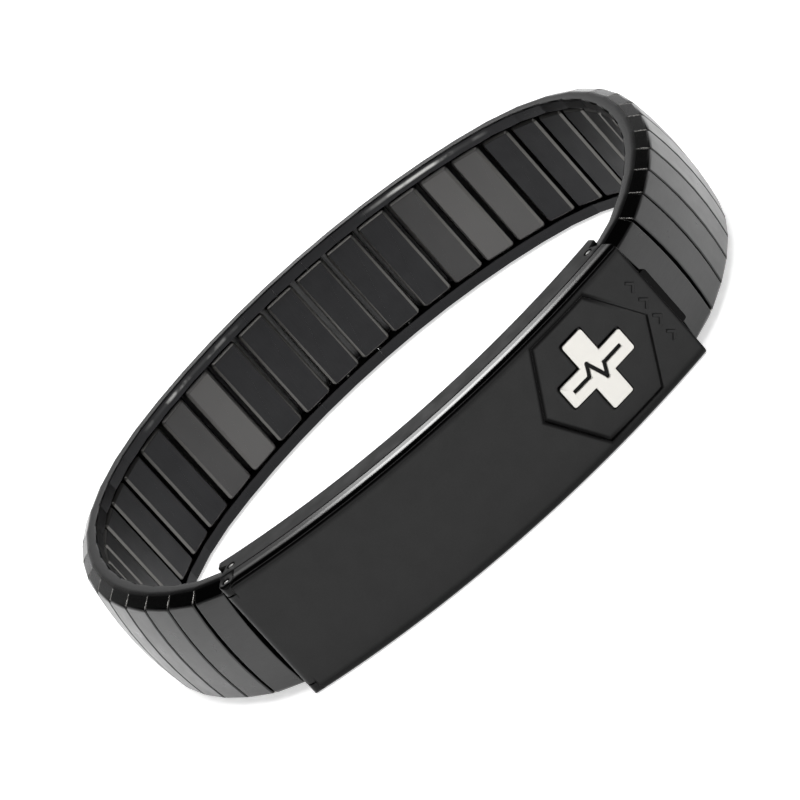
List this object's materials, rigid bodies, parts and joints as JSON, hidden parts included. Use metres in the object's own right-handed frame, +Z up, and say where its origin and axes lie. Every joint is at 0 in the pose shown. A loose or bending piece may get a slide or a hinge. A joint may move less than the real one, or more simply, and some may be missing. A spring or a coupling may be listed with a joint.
{
  "type": "expansion bracelet with a lidded plate",
  "caption": "Oval stretch bracelet of crowned metal links lying on its side, joined to a curved plate whose lid turns open on a hidden pin.",
  "frame": {"origin": "middle of the loop's length and depth, on the surface that the bracelet lies on", "axes": "+X along the plate towards the thumb lip, -Y out of the plate's face, +Z up across the width of the band"},
  "size_m": [0.0706, 0.0616, 0.0144],
  "materials": {
    "outer": "black coated steel, satin, brushed along the band",
    "inner": "black coated steel, satin",
    "plate": "black coated steel, matt, with a polished rim",
    "pin": "bare steel",
    "silver": "bare steel, satin, polished rim"
  },
  "bodies": {
    "band": {"outer_link_01": "outer", "outer_link_02": "outer", "outer_link_03": "outer", "outer_link_04": "outer", "outer_link_05": "outer", "outer_link_06": "outer", "outer_link_07": "outer", "outer_link_08": "outer", "outer_link_09": "outer", "outer_link_10": "outer", "outer_link_11": "outer", "outer_link_12": "outer", "outer_link_13": "outer", "outer_link_14": "outer", "outer_link_15": "outer", "outer_link_16": "outer", "outer_link_17": "outer", "outer_link_18": "outer", "outer_link_19": "outer", "outer_link_20": "outer", "outer_link_21": "outer", "outer_link_22": "outer", "outer_link_23": "outer", "outer_link_24": "outer", "outer_link_25": "outer", "outer_link_26": "outer", "outer_link_27": "outer", "outer_link_28": "outer", "outer_link_29": "outer", "outer_link_30": "outer", "outer_link_31": "outer", "outer_link_32": "outer", "outer_link_33": "outer", "outer_link_34": "outer", "outer_link_35": "outer", "outer_link_36": "outer", "outer_link_37": "outer", "outer_link_38": "outer", "inner_links": "inner", "end_link_right": "inner", "end_link_left": "inner", "link_pin_right": "pin", "link_pin_left": "pin", "plate_base": "plate", "hinge_pin": "pin"},
    "lid": {"plate_lid": "plate", "emblem": "silver"}
  },
  "joints": [
    {"name": "lid_hinge", "type": "hinge", "parent": "band", "child": "lid", "pos_m": [-0.02338, -0.02556, 0.0072], "axis": [0, 0, -1], "range_deg": [0, 100]}
  ]
}
